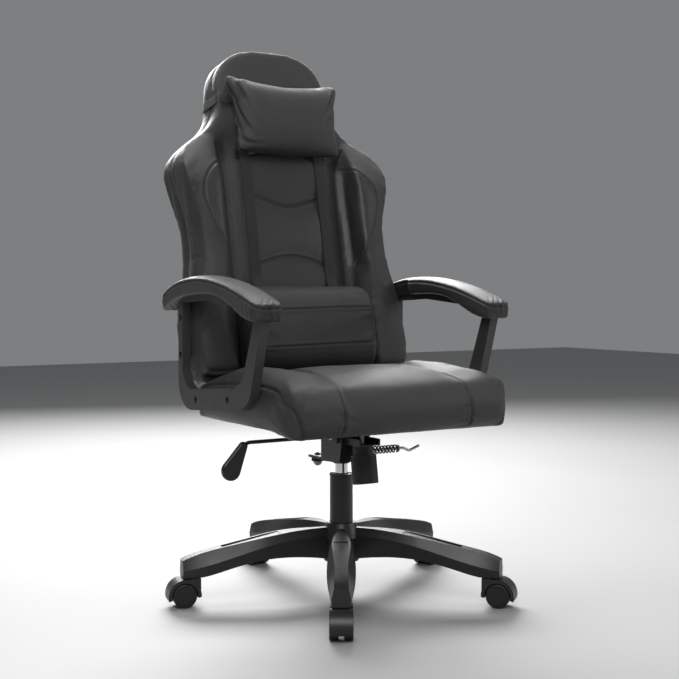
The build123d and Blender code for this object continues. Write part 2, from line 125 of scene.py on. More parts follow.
def cadCopy(node, name):  # a merged copy of a CAD node's mesh, as a start for a soft piece
    piece = nodes[node].copy()
    piece.data = nodes[node].data.copy()
    piece.name = piece.data.name = name
    bpy.context.scene.collection.objects.link(piece)
    piece.parent = None
    piece.matrix_world = Matrix.Identity(4)
    pick(piece)
    bpy.ops.object.mode_set(mode="EDIT")
    bpy.ops.mesh.select_all(action="SELECT")
    bpy.ops.mesh.remove_doubles(threshold=0.00002)
    bpy.ops.mesh.normals_make_consistent(inside=False)
    bpy.ops.object.mode_set(mode="OBJECT")
    return piece


def voxelRemesh(piece, size):
    pick(piece)
    piece.data.remesh_voxel_size = size
    bpy.ops.object.voxel_remesh()


def relax(piece, rounds, factor=0.5):
    applyModifier(piece, "SMOOTH", factor=factor, iterations=rounds)


# cloth pressure swells the cover between its held points, and no point moves further than cap
def inflate(piece, pressure, cap, held, frames=16):
    before = getPoints(piece)
    group = piece.vertex_groups.new(name="held")
    group.add([int(i) for i in np.nonzero(held)[0]], 1.0, "REPLACE")
    cloth = addModifier(piece, "CLOTH")
    cloth.settings.quality = 4
    cloth.settings.mass = 0.4
    cloth.settings.tension_stiffness = cloth.settings.compression_stiffness = 12
    cloth.settings.shear_stiffness = 6
    cloth.settings.bending_stiffness = 0.4
    cloth.settings.use_pressure = True
    cloth.settings.uniform_pressure_force = pressure
    cloth.settings.vertex_group_mass = "held"
    cloth.settings.effector_weights.gravity = 0
    cloth.collision_settings.use_collision = False
    cloth.point_cache.frame_start, cloth.point_cache.frame_end = 1, frames
    for number in range(1, frames + 1):
        bpy.context.scene.frame_set(number)
    shown = piece.evaluated_get(bpy.context.evaluated_depsgraph_get())
    after = np.empty(len(before) * 3)
    shown.data.vertices.foreach_get("co", after)
    move = after.reshape(-1, 3) - before
    length = np.linalg.norm(move, axis=1)[:, None]
    move *= np.minimum(1, cap / np.maximum(length, 1e-9))
    piece.modifiers.remove(cloth)
    piece.vertex_groups.remove(group)
    bpy.context.scene.frame_set(1)
    setPoints(piece, before + np.nan_to_num(move))
    relax(piece, 2)


def nearSeams(piece, seams, reach):  # which points of the piece lie within reach of any seam line
    tree = KDTree(sum(len(s) for s in seams))
    for i, p in enumerate(p for s in seams for p in s):
        tree.insert(p, i)
    tree.balance()
    return np.array([tree.find(p)[2] < reach for p in getPoints(piece)])


def seamDistance(piece, seams):
    tree = KDTree(sum(len(s) for s in seams))
    for i, p in enumerate(p for s in seams for p in s):
        tree.insert(p, i)
    tree.balance()
    return np.array([tree.find(p)[2] for p in getPoints(piece)])


def surfaceOf(piece):
    shape = bmesh.new()
    shape.from_mesh(piece.data)
    tree = BVHTree.FromBMesh(shape)
    shape.free()
    return tree


def ontoSurface(tree, points):
    return [tree.find_nearest(Vector(p))[0] for p in points]


# points dropped on the surface along a direction; those that miss are left out
def castOnto(tree, points, direction):
    hits = [tree.ray_cast(Vector(p), Vector(direction)) for p in points]
    return [hit[0] for hit in hits if hit[0] is not None]


def setMask(piece, name, values):
    layer = piece.data.attributes.get(name) or piece.data.attributes.new(name, "FLOAT", "POINT")
    layer.data.foreach_set("value", np.asarray(values, np.float32))


# presses a sewn groove along each line and marks it for the shader, which paints shade into the groove
def sewSeams(piece, seams, width=0.0028, depth=0.0024, pucker=0.0):
    points, normals = getPoints(piece), getNormals(piece)
    distance = seamDistance(piece, seams)
    groove = np.exp(-(distance / width) ** 2)
    shoulder = np.exp(-((distance - 2.6 * width) / (1.6 * width)) ** 2)
    ripple = 1 + pucker * np.sin(points @ np.array([610.0, 540.0, 700.0]))
    points = points - normals * (groove * depth * ripple)[:, None]
    points = points + normals * (shoulder * depth * 0.3 * ripple)[:, None]
    setPoints(piece, points)
    setMask(piece, "seam", groove)


stitch = {"length": 0.0046, "gap": 0.0026, "radius": 0.00042, "sink": 0.00005}


# a row of thread stitches beside each seam line, lying on the piece's surface
def stitchRow(name, piece, lines, side, body):
    tree = surfaceOf(piece)
    deselectAll()
    bpy.ops.mesh.primitive_cylinder_add(vertices=6, radius=1, depth=2, end_fill_type="TRIFAN")
    seed = bpy.context.object
    seedPoints = getPoints(seed)
    faces = [list(f.vertices) for f in seed.data.polygons]
    bpy.data.objects.remove(seed)
    allPoints, allFaces = [], []
    pitch = stitch["length"] + stitch["gap"]
    for line in lines:
        line = np.array(line, float)
        steps = np.r_[0, np.cumsum(np.linalg.norm(np.diff(line, axis=0), axis=1))]
        for start in np.arange(pitch, steps[-1] - pitch, pitch):
            ends = [np.array([np.interp(s, steps, line[:, k]) for k in range(3)])
                    for s in (start, start + stitch["length"])]
            along = Vector(ends[1] - ends[0]).normalized()
            middle, normal, _, _ = tree.find_nearest(Vector((ends[0] + ends[1]) / 2))
            across = along.cross(normal).normalized()
            spot, normal, _, _ = tree.find_nearest(middle + across * side)
            along = (along - normal * along.dot(normal)).normalized()
            across = along.cross(normal).normalized()
            turn = Matrix((across * stitch["radius"], normal * stitch["radius"],
                           along * stitch["length"] / 2)).transposed()
            base = len(allPoints)
            centre = spot - normal * stitch["sink"]
            allPoints += [centre + turn @ Vector(p) for p in seedPoints]
            allFaces += [[base + i for i in f] for f in faces]
    mesh = bpy.data.meshes.new(name)
    mesh.from_pydata([tuple(p) for p in allPoints], [], allFaces)
    row = bpy.data.objects.new(name, mesh)
    bpy.context.scene.collection.objects.link(row)
    finishPiece(row, body, threadMaterial, angle=60)
    return row


def shadeSmooth(piece, angle=30):
    pick(piece)
    bpy.ops.object.shade_smooth_by_angle(angle=math.radians(angle))


# the last steps of every piece: its material, body and the CAD nodes that it stands for
def finishPiece(piece, body, material, replaced=(), angle=180):
    piece.data.materials.clear()
    piece.data.materials.append(material)
    shadeSmooth(piece, angle)
    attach(piece, body)
    if replaced:
        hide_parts(*replaced)


# ---- shader maths written as expressions
class Value:  # wraps a socket or a number, so that + - * and friends add Math nodes
    def __init__(self, shader, source):
        self.shader, self.source = shader, source

    def combine(self, operation, a, b=0.0, c=None):
        values = {0: a, 1: b} if c is None else {0: a, 1: b, 2: c}
        return self.shader.add("ShaderNodeMath", {"operation": operation}, values)

    def __add__(self, other): return self.combine("ADD", self, other)
    def __radd__(self, other): return self.combine("ADD", other, self)
    def __sub__(self, other): return self.combine("SUBTRACT", self, other)
    def __rsub__(self, other): return self.combine("SUBTRACT", other, self)
    def __mul__(self, other): return self.combine("MULTIPLY", self, other)
    def __rmul__(self, other): return self.combine("MULTIPLY", other, self)
    def __truediv__(self, other): return self.combine("DIVIDE", self, other)
    def __pow__(self, other): return self.combine("POWER", self, other)


class Shader:  # one material and the few calls that fill it
    def __init__(self, name):
        self.material = bpy.data.materials.new(name)
        self.material.use_nodes = True
        self.tree = self.material.node_tree
        self.tree.nodes.clear()
        self.output = self.tree.nodes.new("ShaderNodeOutputMaterial")
        self.surface = self.tree.nodes.new("ShaderNodeBsdfPrincipled")
        self.tree.links.new(self.surface.outputs[0], self.output.inputs[0])
        self.place = self.add("ShaderNodeTexCoord", {}, {}, "Object")

    def add(self, kind, settings, values, output=0):
        node = self.tree.nodes.new(kind)
        for name, value in settings.items():
            if name == "stops":
                for element, (position, colour) in zip(node.color_ramp.elements, value):
                    element.position, element.color = position, (*colour, 1)
            else:
                setattr(node, name, value)
        for name, value in values.items():
            self.feed(node.inputs[name], value)
        return Value(self, node.outputs[output])

    def feed(self, socket, value):
        if isinstance(value, Value):
            self.tree.links.new(value.source, socket)
        else:
            socket.default_value = value

    def set(self, **values):
        for name, value in values.items():
            self.feed(self.surface.inputs[name.replace("_", " ")], value)

    def mapped(self, scale, turn=(0, 0, 0), place=(0, 0, 0)):
        return self.add("ShaderNodeMapping", {}, {"Vector": self.place, "Scale": scale, "Rotation": turn,
                                                  "Location": place})

    def noise(self, scale, detail=3.0, rough=0.5, vector=None, distortion=0.0):
        return self.add("ShaderNodeTexNoise", {}, {"Vector": vector or self.place, "Scale": scale,
                        "Detail": detail, "Roughness": rough, "Distortion": distortion}, "Fac")

    def mask(self, name):
        return self.add("ShaderNodeAttribute", {"attribute_name": name}, {}, "Fac")

    def mix(self, factor, a, b):
        return self.add("ShaderNodeMix", {"data_type": "RGBA"}, {0: factor, 6: a, 7: b}, 2)

    def steps(self, value, low, high):
        return self.add("ShaderNodeMapRange", {"interpolation_type": "SMOOTHSTEP"},
                        {"Value": value, "From Min": low, "From Max": high})

    def bump(self, height, strength, distance, normal=None):
        values = {"Height": height, "Strength": strength, "Distance": distance}
        if normal is not None:
            values["Normal"] = normal
        return self.add("ShaderNodeBump", {}, values)


def grey(value, tint=0.0):
    return (value, value, value * (1 + tint), 1)


leather = {"dark": 0.010, "light": 0.022, "tint": 0.07, "grain": 430, "rough": 0.40}


# pebbled hide: small cells, soft creases, duller inside the seams, with painted shade darkening the seam
# grooves and a painted highlight lightening the smooth panels
def makeLeather(name, grainDepth, roughness, shade):
    s = Shader(name)
    wobble = s.noise(60, 2)
    bent = s.add("ShaderNodeVectorMath", {"operation": "ADD"}, {0: s.place, 1: s.add(
        "ShaderNodeVectorMath", {"operation": "SCALE"}, {0: s.add("ShaderNodeTexNoise", {}, {
            "Vector": s.place, "Scale": 90, "Detail": 2}, "Color"), "Scale": 0.0016})})
    cells = s.add("ShaderNodeTexVoronoi", {"feature": "DISTANCE_TO_EDGE"},
                  {"Vector": bent, "Scale": leather["grain"]}, "Distance")
    coarse = s.add("ShaderNodeTexVoronoi", {"feature": "DISTANCE_TO_EDGE"},
                   {"Vector": bent, "Scale": leather["grain"] * 0.42}, "Distance")
    pebbles = s.steps(cells, 0.0, 0.22) * 0.7 + s.steps(coarse, 0.0, 0.12) * 0.3
    creases = s.noise(22, 5, 0.6, distortion=0.6)
    seam = s.mask("seam")
    smoothPanelAndSheen = s.mask("smoothPanelAndSheen")
    worn = s.steps(s.noise(7, 3), 0.35, 0.75)
    grain = pebbles * (1 - smoothPanelAndSheen * 0.75)
    low = grey(leather["dark"] * shade, leather["tint"])
    high = grey(leather["light"] * shade, leather["tint"])
    colour = s.mix(pebbles * 0.45 + worn * 0.35 + wobble * 0.2, low, high)
    # painted shade: the seam grooves are darkened towards near black
    colour = s.mix(seam * 0.8, colour, grey(0.006))
    # painted highlight: the smooth panels' colour is lightened, besides their weaker grain
    colour = s.mix(smoothPanelAndSheen * 0.45, colour, grey(0.021, 0.1))
    first = s.bump(grain, grainDepth, 0.0005)
    second = s.bump(creases, 0.14, 0.004, first)
    rough = roughness + worn * 0.06 + (1 - pebbles) * 0.08 + seam * 0.2
    s.set(Base_Color=colour, Roughness=rough, Normal=second, Sheen_Weight=0.04, Sheen_Roughness=0.4)
    s.surface.inputs["Specular IOR Level"].default_value = 0.55
    return s.material


# moulded plastic: fine spark texture, faint flow marks and rubbed patches
def makePlastic(name, shade, roughness, texture, tint=0.03):
    s = Shader(name)
    fine = s.noise(1400, 2, 0.6)
    flow = s.noise(9, 4, 0.55)
    rubbed = s.steps(s.noise(26, 4, 0.6), 0.5, 0.8)
    colour = s.mix(rubbed * 0.3 + flow * 0.4, grey(shade * 0.8, tint), grey(shade * 1.25, tint))
    s.set(Base_Color=colour, Roughness=roughness + flow * 0.08 - rubbed * 0.05,
          Normal=s.bump(fine, texture, 0.0003, s.bump(flow, 0.05, 0.003)))
    return s.material


def makeMetal(name, shade, roughness, brushed=0.0, metallic=1.0):
    s = Shader(name)
    streaks = s.noise(60, 3, 0.6, s.mapped((1, 1, 24)))
    smudge = s.noise(18, 4, 0.6)
    colour = s.mix(smudge, grey(shade * 0.85), grey(shade * 1.1))
    s.set(Base_Color=colour, Roughness=roughness + smudge * 0.08 + streaks * brushed,
          Normal=s.bump(streaks, brushed * 0.6, 0.0002), Metallic=metallic)
    return s.material


def makeWebbing(name, shade):  # woven strap: ribs along the piece's own UV
    s = Shader(name)
    uv = s.add("ShaderNodeUVMap", {}, {})
    split = s.add("ShaderNodeSeparateXYZ", {}, {"Vector": uv}, "X")
    length = Value(s, split.source.node.outputs["Y"])
    ribs = split.combine("SINE", split * 2 * math.pi * 15)
    picks = split.combine("SINE", length * 2 * math.pi * 620)
    weave = ribs * picks * 0.5 + 0.5
    s.set(Base_Color=s.mix(weave, grey(shade * 0.5), grey(shade * 1.3)), Roughness=0.78 + weave * 0.1,
          Normal=s.bump(weave, 0.5, 0.0004), Sheen_Weight=0.15)
    return s.material


def makeWood(name):
    s = Shader(name)
    rings = s.noise(14, 4, 0.6, s.mapped((1, 8, 40)), 0.8)
    ply = s.mix(rings, (0.18, 0.10, 0.05, 1), (0.34, 0.22, 0.12, 1))
    s.set(Base_Color=ply, Roughness=0.62 + rings * 0.15,
          Normal=s.bump(rings, 0.2, 0.0005))
    return s.material


def makeFabric(name, shade):
    s = Shader(name)
    threads = (s.noise(900, 2, 0.5, s.mapped((1, 0.3, 1))) * 0.5
               + s.noise(900, 2, 0.5, s.mapped((0.3, 1, 1))) * 0.5)
    s.set(Base_Color=s.mix(threads, grey(shade * 0.6), grey(shade * 1.5)), Roughness=0.9,
          Normal=s.bump(threads, 0.4, 0.0003))
    return s.material


leatherMaterial = makeLeather("grained_leather", 0.95, leather["rough"], 1.0)
smoothLeatherMaterial = makeLeather("smooth_leather", 0.28, leather["rough"] - 0.03, 0.85)
threadMaterial = makeFabric("sewing_thread", 0.03)
webbingMaterial = makeWebbing("strap_webbing", 0.016)
coverMaterial = makeFabric("dust_cover_cloth", 0.014)
nylonMaterial = makePlastic("base_nylon", 0.015, 0.36, 0.18)
armMaterial = makePlastic("arm_nylon", 0.036, 0.38, 0.22)
casterMaterial = makePlastic("caster_nylon", 0.013, 0.38, 0.15)
wheelMaterial = makePlastic("wheel_nylon", 0.009, 0.45, 0.12)
knobMaterial = makePlastic("knob_plastic", 0.014, 0.42, 0.1)
paddleMaterial = makePlastic("paddle_plastic", 0.008, 0.22, 0.03)
guideMaterial = makePlastic("guide_plastic", 0.45, 0.5, 0.1, 0.0)
paintMaterial = makeMetal("black_paint", 0.014, 0.34, 0.02, 0.0)
chromeMaterial = makeMetal("chrome_plate", 0.78, 0.07)
steelMaterial = makeMetal("bright_steel", 0.55, 0.25, 0.2)
zincMaterial = makeMetal("zinc_steel", 0.35, 0.4, 0.2)
springMaterial = makeMetal("oiled_spring_steel", 0.02, 0.3, 0.05, 0.6)
rubberMaterial = makePlastic("black_rubber", 0.014, 0.7, 0.3, 0.0)
woodMaterial = makeWood("plywood")

slotMaterials = {"nylon_black": nylonMaterial, "arm_nylon": armMaterial, "caster_nylon": casterMaterial,
                 "wheel_nylon": wheelMaterial, "knob_plastic": knobMaterial,
                 "gloss_black_plastic": paddleMaterial,
                 "guide_plastic": guideMaterial, "painted_steel": paintMaterial, "chrome": chromeMaterial,
                 "bright_steel": steelMaterial, "zinc_steel": zincMaterial, "spring_steel": springMaterial,
                 "bolt_black": paintMaterial, "rubber_black": rubberMaterial, "plywood": woodMaterial,
                 "cover_fabric": coverMaterial, "leather_black": leatherMaterial,
                 "leather_smooth": smoothLeatherMaterial, "webbing": webbingMaterial}


def dressCadNodes():  # every CAD node that stays gets the finish of its slot
    for part in frame["record"]["subparts"]:
        data = nodes[part["node"]].data
        data.materials.clear()
        data.materials.append(slotMaterials[part["material_slot"]])


dressCadNodes()
print("materials ready")


# ---- the backrest's own leaning frame: x across, rise up the slope, depth forwards
backPlane = {"recline": 12, "y": 0.2038, "z": 0.452}
lean = math.radians(backPlane["recline"])


def toBack(points):
    p = np.asarray(points, float) - (0, backPlane["y"], backPlane["z"])
    return np.c_[p[:, 0], p[:, 1] * math.sin(lean) + p[:, 2] * math.cos(lean),
                 p[:, 2] * math.sin(lean) - p[:, 1] * math.cos(lean)]


def fromBack(points):
    q = np.asarray(points, float)
    return np.c_[q[:, 0], backPlane["y"] + q[:, 1] * math.sin(lean) - q[:, 2] * math.cos(lean),
                 backPlane["z"] + q[:, 1] * math.cos(lean) + q[:, 2] * math.sin(lean)]


def riseOf(height, depth=0.0):
    return (height - backPlane["z"] - depth * math.sin(lean)) / math.cos(lean)


forwards = Vector((0, -math.cos(lean), math.sin(lean)))


# (x, height) places joined smoothly and laid on the front of the backrest
def backLine(tree, places, depth, spacing=0.003):
    flat = smoothCurve([(x, riseOf(z, depth), 0.2) for x, z in places], spacing)
    return castOnto(tree, fromBack(flat), -forwards)


def mirrored(places):
    return [(-p[0], *p[1:]) for p in places]


# soft gathers that run along one direction and fade out round a place
def creases(piece, where, along, reach, spread, period, depth, twist=0.0):
    points, normals = getPoints(piece), getNormals(piece)
    run = Vector(along).normalized()
    gap = points - np.array(where)
    s = gap @ np.array(run)
    around = gap - np.outer(s, run)
    across = np.array(run.cross(Vector((0.31, 0.52, 0.8))).normalized())
    t = around @ across + twist * s
    fade = np.exp(-(s / reach) ** 2 - (np.linalg.norm(around, axis=1) / spread) ** 2)
    turn = 2 * math.pi * t / period
    wave = np.sin(turn + 9 * s) + 0.5 * np.sin(turn * 1.7 + 2 + 14 * s)
    setPoints(piece, points + normals * (fade * wave * depth)[:, None])


def surfaceWaves(piece, depth, size):  # the slight unevenness of foam under its cover
    points, normals = getPoints(piece), getNormals(piece)
    p = points * (2 * math.pi / size)
    wave = (np.sin(p[:, 0] + 1.3 * np.sin(p[:, 1])) + np.sin(p[:, 1] * 0.9 + 1.1 * np.sin(p[:, 2] * 0.8))
            + np.sin(p[:, 2] * 1.1 + 0.7 * np.sin(p[:, 0] * 1.2)))
    setPoints(piece, points + normals * (wave * depth / 3)[:, None])


# ---- seat cushion
seat = {"voxel": 0.006, "cap": 0.010, "pressure": 4.0, "panelHalf": 0.150, "seamDepth": 0.0030,
        "stitchGap": 0.006}


def seatSeams(tree):
    panel, boxing = [], []
    for side in (-1, 1):
        w = seat["panelHalf"]
        line = smoothCurve([(side * (w + 0.004), -0.262, 0.374), (side * (w + 0.004), -0.264, 0.425),
                            (side * (w + 0.002), -0.240, 0.468), (side * (w - 0.004), -0.170, 0.493),
                            (side * (w - 0.012), -0.060, 0.501), (side * (w - 0.014), 0.020, 0.492),
                            (side * (w - 0.008), 0.110, 0.467), (side * w, 0.190, 0.431)])
        panel.append(ontoSurface(tree, line))
        line = smoothCurve([(side * 0.262, 0.170, 0.440), (side * 0.266, 0.060, 0.462),
                            (side * 0.266, -0.080, 0.472), (side * 0.262, -0.170, 0.466),
                            (side * 0.252, -0.225, 0.440), (side * 0.243, -0.244, 0.405),
                            (side * 0.238, -0.246, 0.374)])
        boxing.append(ontoSurface(tree, line))
    return panel, boxing


def makeSeatCushion():
    cushion = cadCopy("seat_cushion", "seat_cover")
    voxelRemesh(cushion, seat["voxel"])
    relax(cushion, 14)
    points = getPoints(cushion)
    top = smoothStep(0.44, 0.475, points[:, 2])
    x, y = np.abs(points[:, 0]), points[:, 1]
    valley = bump(x, seat["panelHalf"], 0.020) * smoothStep(-0.262, -0.15, y)
    wing = bump(x, 0.212, 0.040) * smoothStep(-0.20, -0.05, y)
    points[:, 2] += top * (wing * 0.010 - valley * 0.009)
    setPoints(cushion, points)
    panel, boxing = seatSeams(surfaceOf(cushion))
    inside = (points[:, 2] < 0.401) & (np.abs(points[:, 1] + 0.02) < 0.21) & (x < 0.24)
    inflate(cushion, seat["pressure"], seat["cap"], nearSeams(cushion, panel + boxing, 0.007) | inside)
    surfaceWaves(cushion, 0.0006, 0.11)
    applyModifier(cushion, "SUBSURF", levels=1, render_levels=1)
    panel, boxing = seatSeams(surfaceOf(cushion))
    sewSeams(cushion, panel + boxing, depth=seat["seamDepth"], pucker=0.22)
    for side in (-1, 1):
        creases(cushion, (side * 0.245, -0.225, 0.425), (side * -0.5, 0.2, 0.8), 0.045, 0.045, 0.019, 0.0006)
        creases(cushion, (side * 0.150, -0.262, 0.402), (side * 0.9, 0, 0.35), 0.035, 0.030, 0.014, 0.0008)
        creases(cushion, (side * 0.262, 0.05, 0.452), (0, 0.3, 1), 0.030, 0.120, 0.040, 0.0007)
    places = getPoints(cushion)
    # the seat's middle panel: weaker grain, and a painted highlight lightening its colour
    middle = 1 - smoothStep(seat["panelHalf"] - 0.010, seat["panelHalf"] - 0.006, np.abs(places[:, 0]))
    setMask(cushion, "smoothPanelAndSheen", 0.6 * middle)
    finishPiece(cushion, "seat", leatherMaterial, ["seat_cushion"])
    stitchRow("seat_stitches", cushion, panel, seat["stitchGap"], "seat")
    stitchRow("seat_boxing_stitches", cushion, boxing, -seat["stitchGap"], "seat")
    print("seat cushion", len(cushion.data.polygons))
    return cushion


makeSeatCushion()


# ---- backrest front cover
back = {"voxel": 0.006, "cap": 0.009, "pressure": 4.0, "channel": 0.146, "channelWidth": 0.018,
        "channelDepth": 0.016, "seamDepth": 0.0028, "crown": 0.006, "tuck": 0.008}
wingInsert = [(0.165, 0.962), (0.195, 0.945), (0.222, 0.912), (0.229, 0.872), (0.215, 0.825), (0.192, 0.775),
              (0.172, 0.728)]
upperVee = [(-0.100, 0.885), (-0.045, 0.868), (0.0, 0.856), (0.045, 0.864), (0.100, 0.878)]
lowerVee = [(-0.100, 0.714), (-0.045, 0.732), (0.0, 0.738), (0.045, 0.732), (0.100, 0.714)]


def channelLine(tree, side):
    places = [(side * x, z) for x, z in [(0.140, 0.520), (0.146, 0.600), (0.150, 0.700), (0.150, 0.800),
                                         (0.150, 0.880), (0.152, 0.940), (0.158, 0.975), (0.170, 0.998)]]
    return backLine(tree, places, 0.043)


def backSeams(tree):
    channels = [channelLine(tree, side) for side in (-1, 1)]
    inserts = [backLine(tree, wingInsert, 0.090), backLine(tree, mirrored(wingInsert), 0.090)]
    vees = [backLine(tree, upperVee, 0.045), backLine(tree, lowerVee, 0.045)]
    return channels, inserts, vees


def inLoop(places, loop):  # which (x, rise) places lie inside a closed line
    inside = np.zeros(len(places), bool)
    for a, b in zip(loop, np.roll(loop, -1, axis=0)):
        crosses = (a[1] > places[:, 1]) != (b[1] > places[:, 1])
        with np.errstate(divide="ignore", invalid="ignore"):
            at = (b[0] - a[0]) * (places[:, 1] - a[1]) / (b[1] - a[1]) + a[0]
        inside ^= crosses & (places[:, 0] < at)
    return inside


def smoothAndSheenPanels(piece):  # the smoother leather of the wing inserts and of the panel between the two vees, also lightened in the shader as a painted highlight
    q = toBack(getPoints(piece))
    mask = np.zeros(len(q))
    closed = wingInsert + [(0.155, 0.728), (0.155, 0.962)]
    for loop in (closed, mirrored(closed)):
        mask[inLoop(q[:, :2], np.array([(x, riseOf(z, 0.090)) for x, z in loop]))] = 1
    middle = [(x, riseOf(z, 0.045)) for x, z in upperVee + lowerVee[::-1]]
    mask[inLoop(q[:, :2], np.array(middle)) & (q[:, 2] > 0.02)] = 0.8
    return mask * (q[:, 2] > 0.02)


def shapeBackFront(piece):
    q = toBack(getPoints(piece))
    x, rise, depth = np.abs(q[:, 0]), q[:, 1], q[:, 2]
    front = smoothStep(0.018, 0.040, depth)
    body = 1 - smoothStep(riseOf(0.95), riseOf(1.02), rise)
    channel = bump(x, back["channel"], back["channelWidth"]) * body
    crown = (1 - np.clip(x / 0.14, 0, 1) ** 2) * body * smoothStep(riseOf(0.64), riseOf(0.74), rise)
    q[:, 2] += front * (back["crown"] * crown - back["channelDepth"] * channel)
    vee = np.interp(q[:, 0], [p[0] for p in upperVee], [riseOf(p[1], 0.045) for p in upperVee])
    low = np.interp(q[:, 0], [p[0] for p in lowerVee], [riseOf(p[1], 0.045) for p in lowerVee])
    within = front * (1 - smoothStep(0.090, 0.112, x))
    q[:, 2] -= within * 0.006 * (bump(rise, vee, 0.012) + bump(rise, low, 0.012)) * body
    roll = smoothStep(riseOf(0.99), riseOf(1.20), rise)
    q[:, 2] -= front * roll * 0.010 * np.clip(x / 0.14, 0, 1) ** 2
    q[:, 1] -= back["tuck"] * (1 - smoothStep(riseOf(0.455), riseOf(0.50), rise))
    setPoints(piece, fromBack(q))


def makeBackCover():
    cover = cadCopy("back_cushion", "back_cover")
    voxelRemesh(cover, back["voxel"])
    shapeBackFront(cover)
    relax(cover, 12)
    channels, inserts, vees = backSeams(surfaceOf(cover))
    rear = toBack(getPoints(cover))[:, 2] < 0.006
    head = toBack(getPoints(cover))[:, 1] > riseOf(1.0)  # the thin headrest foam barely swells
    held = nearSeams(cover, channels + inserts + vees, 0.007) | rear | head
    inflate(cover, back["pressure"], back["cap"], held)
    surfaceWaves(cover, 0.0006, 0.12)
    applyModifier(cover, "SUBSURF", levels=1, render_levels=1)
    channels, inserts, vees = backSeams(surfaceOf(cover))
    sewSeams(cover, channels + inserts + vees, width=0.0022, depth=back["seamDepth"], pucker=0.2)
    # smooth panels: weaker grain, and a painted highlight in the colour
    setMask(cover, "smoothPanelAndSheen", smoothAndSheenPanels(cover))
    finishPiece(cover, "seat", leatherMaterial, ["back_cushion"])
    stitchRow("insert_stitches", cover, inserts, 0.0055, "seat")
    stitchRow("panel_stitches", cover, vees, 0.0055, "seat")
    print("back cover", len(cover.data.polygons))
    return cover


backCover = makeBackCover()


# ---- backrest rear cover
rear = {"voxel": 0.006, "cap": 0.006, "pressure": 3.0}


def rearSeams(tree):
    lines = []
    for side in (-1, 1):
        flat = smoothCurve([(side * x, riseOf(z), -0.2) for x, z in
                            [(0.175, 0.47), (0.180, 0.60), (0.168, 0.74), (0.172, 0.86), (0.168, 0.95),
                             (0.128, 1.03), (0.108, 1.10), (0.098, 1.185)]])
        lines.append(castOnto(tree, fromBack(flat), forwards))
    flat = smoothCurve([(x, riseOf(1.045), -0.2) for x in np.linspace(-0.118, 0.118, 9)])
    lines.append(castOnto(tree, fromBack(flat), forwards))
    return lines


def makeRearCover():
    cover = cadCopy("back_panel", "rear_cover")
    voxelRemesh(cover, rear["voxel"])
    relax(cover, 12)
    seams = rearSeams(surfaceOf(cover))
    face = toBack(getPoints(cover))[:, 2] > -0.006
    inflate(cover, rear["pressure"], rear["cap"], nearSeams(cover, seams, 0.007) | face)
    surfaceWaves(cover, 0.001, 0.10)
    applyModifier(cover, "SUBSURF", levels=1, render_levels=1)
    seams = rearSeams(surfaceOf(cover))
    sewSeams(cover, seams, depth=0.0036, pucker=0.2)
    setMask(cover, "smoothPanelAndSheen", np.zeros(len(cover.data.vertices)))
    finishPiece(cover, "seat", leatherMaterial, ["back_panel"])
    stitchRow("rear_stitches", cover, seams, 0.0055, "seat")
    print("rear cover", len(cover.data.polygons))
    return cover


rearCover = makeRearCover()


# ---- headrest pillow
pillow = {"voxel": 0.005, "shift": 0.005, "cap": 0.012, "pressure": 5.0, "cornerPull": 0.010,
          "edgeThickness": 0.20}


# thins the slab towards its edge seam, draws the top corners out and hollows the top edge
def pillowShape(piece):
    q = toBack(getPoints(piece))
    low, high = q[:, 1].min(), q[:, 1].max()
    near, far = q[:, 2].min(), q[:, 2].max()
    up = (q[:, 1] - low) / (high - low)
    half = 0.130 + (0.143 - 0.130) * up
    u, w = np.clip((q[:, 0] - pillow["shift"]) / half, -1, 1), 2 * up - 1
    full = (1 - np.abs(u) ** 3.2) ** 0.6 * (1 - np.abs(w) ** 3.6) ** 0.55
    share = pillow["edgeThickness"] + (1 - pillow["edgeThickness"]) * full
    middle = near + 0.40 * (far - near)
    q[:, 2] = middle + (q[:, 2] - middle) * share
    corner = np.abs(u) ** 4 * smoothStep(0.2, 1, w)
    foot = np.abs(u) ** 4 * smoothStep(0.3, 1, -w)
    waist = (1 - w ** 2) * np.abs(u) ** 3
    left = np.where(u < 0, 1.0, 0.55)
    q[:, 0] += np.sign(u) * (corner * pillow["cornerPull"] * left + foot * 0.004 - waist * 0.008)
    q[:, 1] += corner * pillow["cornerPull"] * 0.7 * left - (1 - u ** 2) * smoothStep(0.4, 1, w) * 0.006
    setPoints(piece, fromBack(q))
    return middle


def pillowSeam(tree, middle):  # the edge seam runs right round at the pillow's thin rim
    places = [(-0.134, 0.974), (0.0, 0.962), (0.144, 0.974), (0.146, 1.06), (0.160, 1.155), (0.06, 1.138),
              (0.0, 1.132), (-0.06, 1.138), (-0.156, 1.160), (-0.140, 1.06), (-0.134, 0.974)]
    line = smoothCurve([(x, riseOf(z, 0.07), middle) for x, z in places])
    return ontoSurface(tree, fromBack(line))


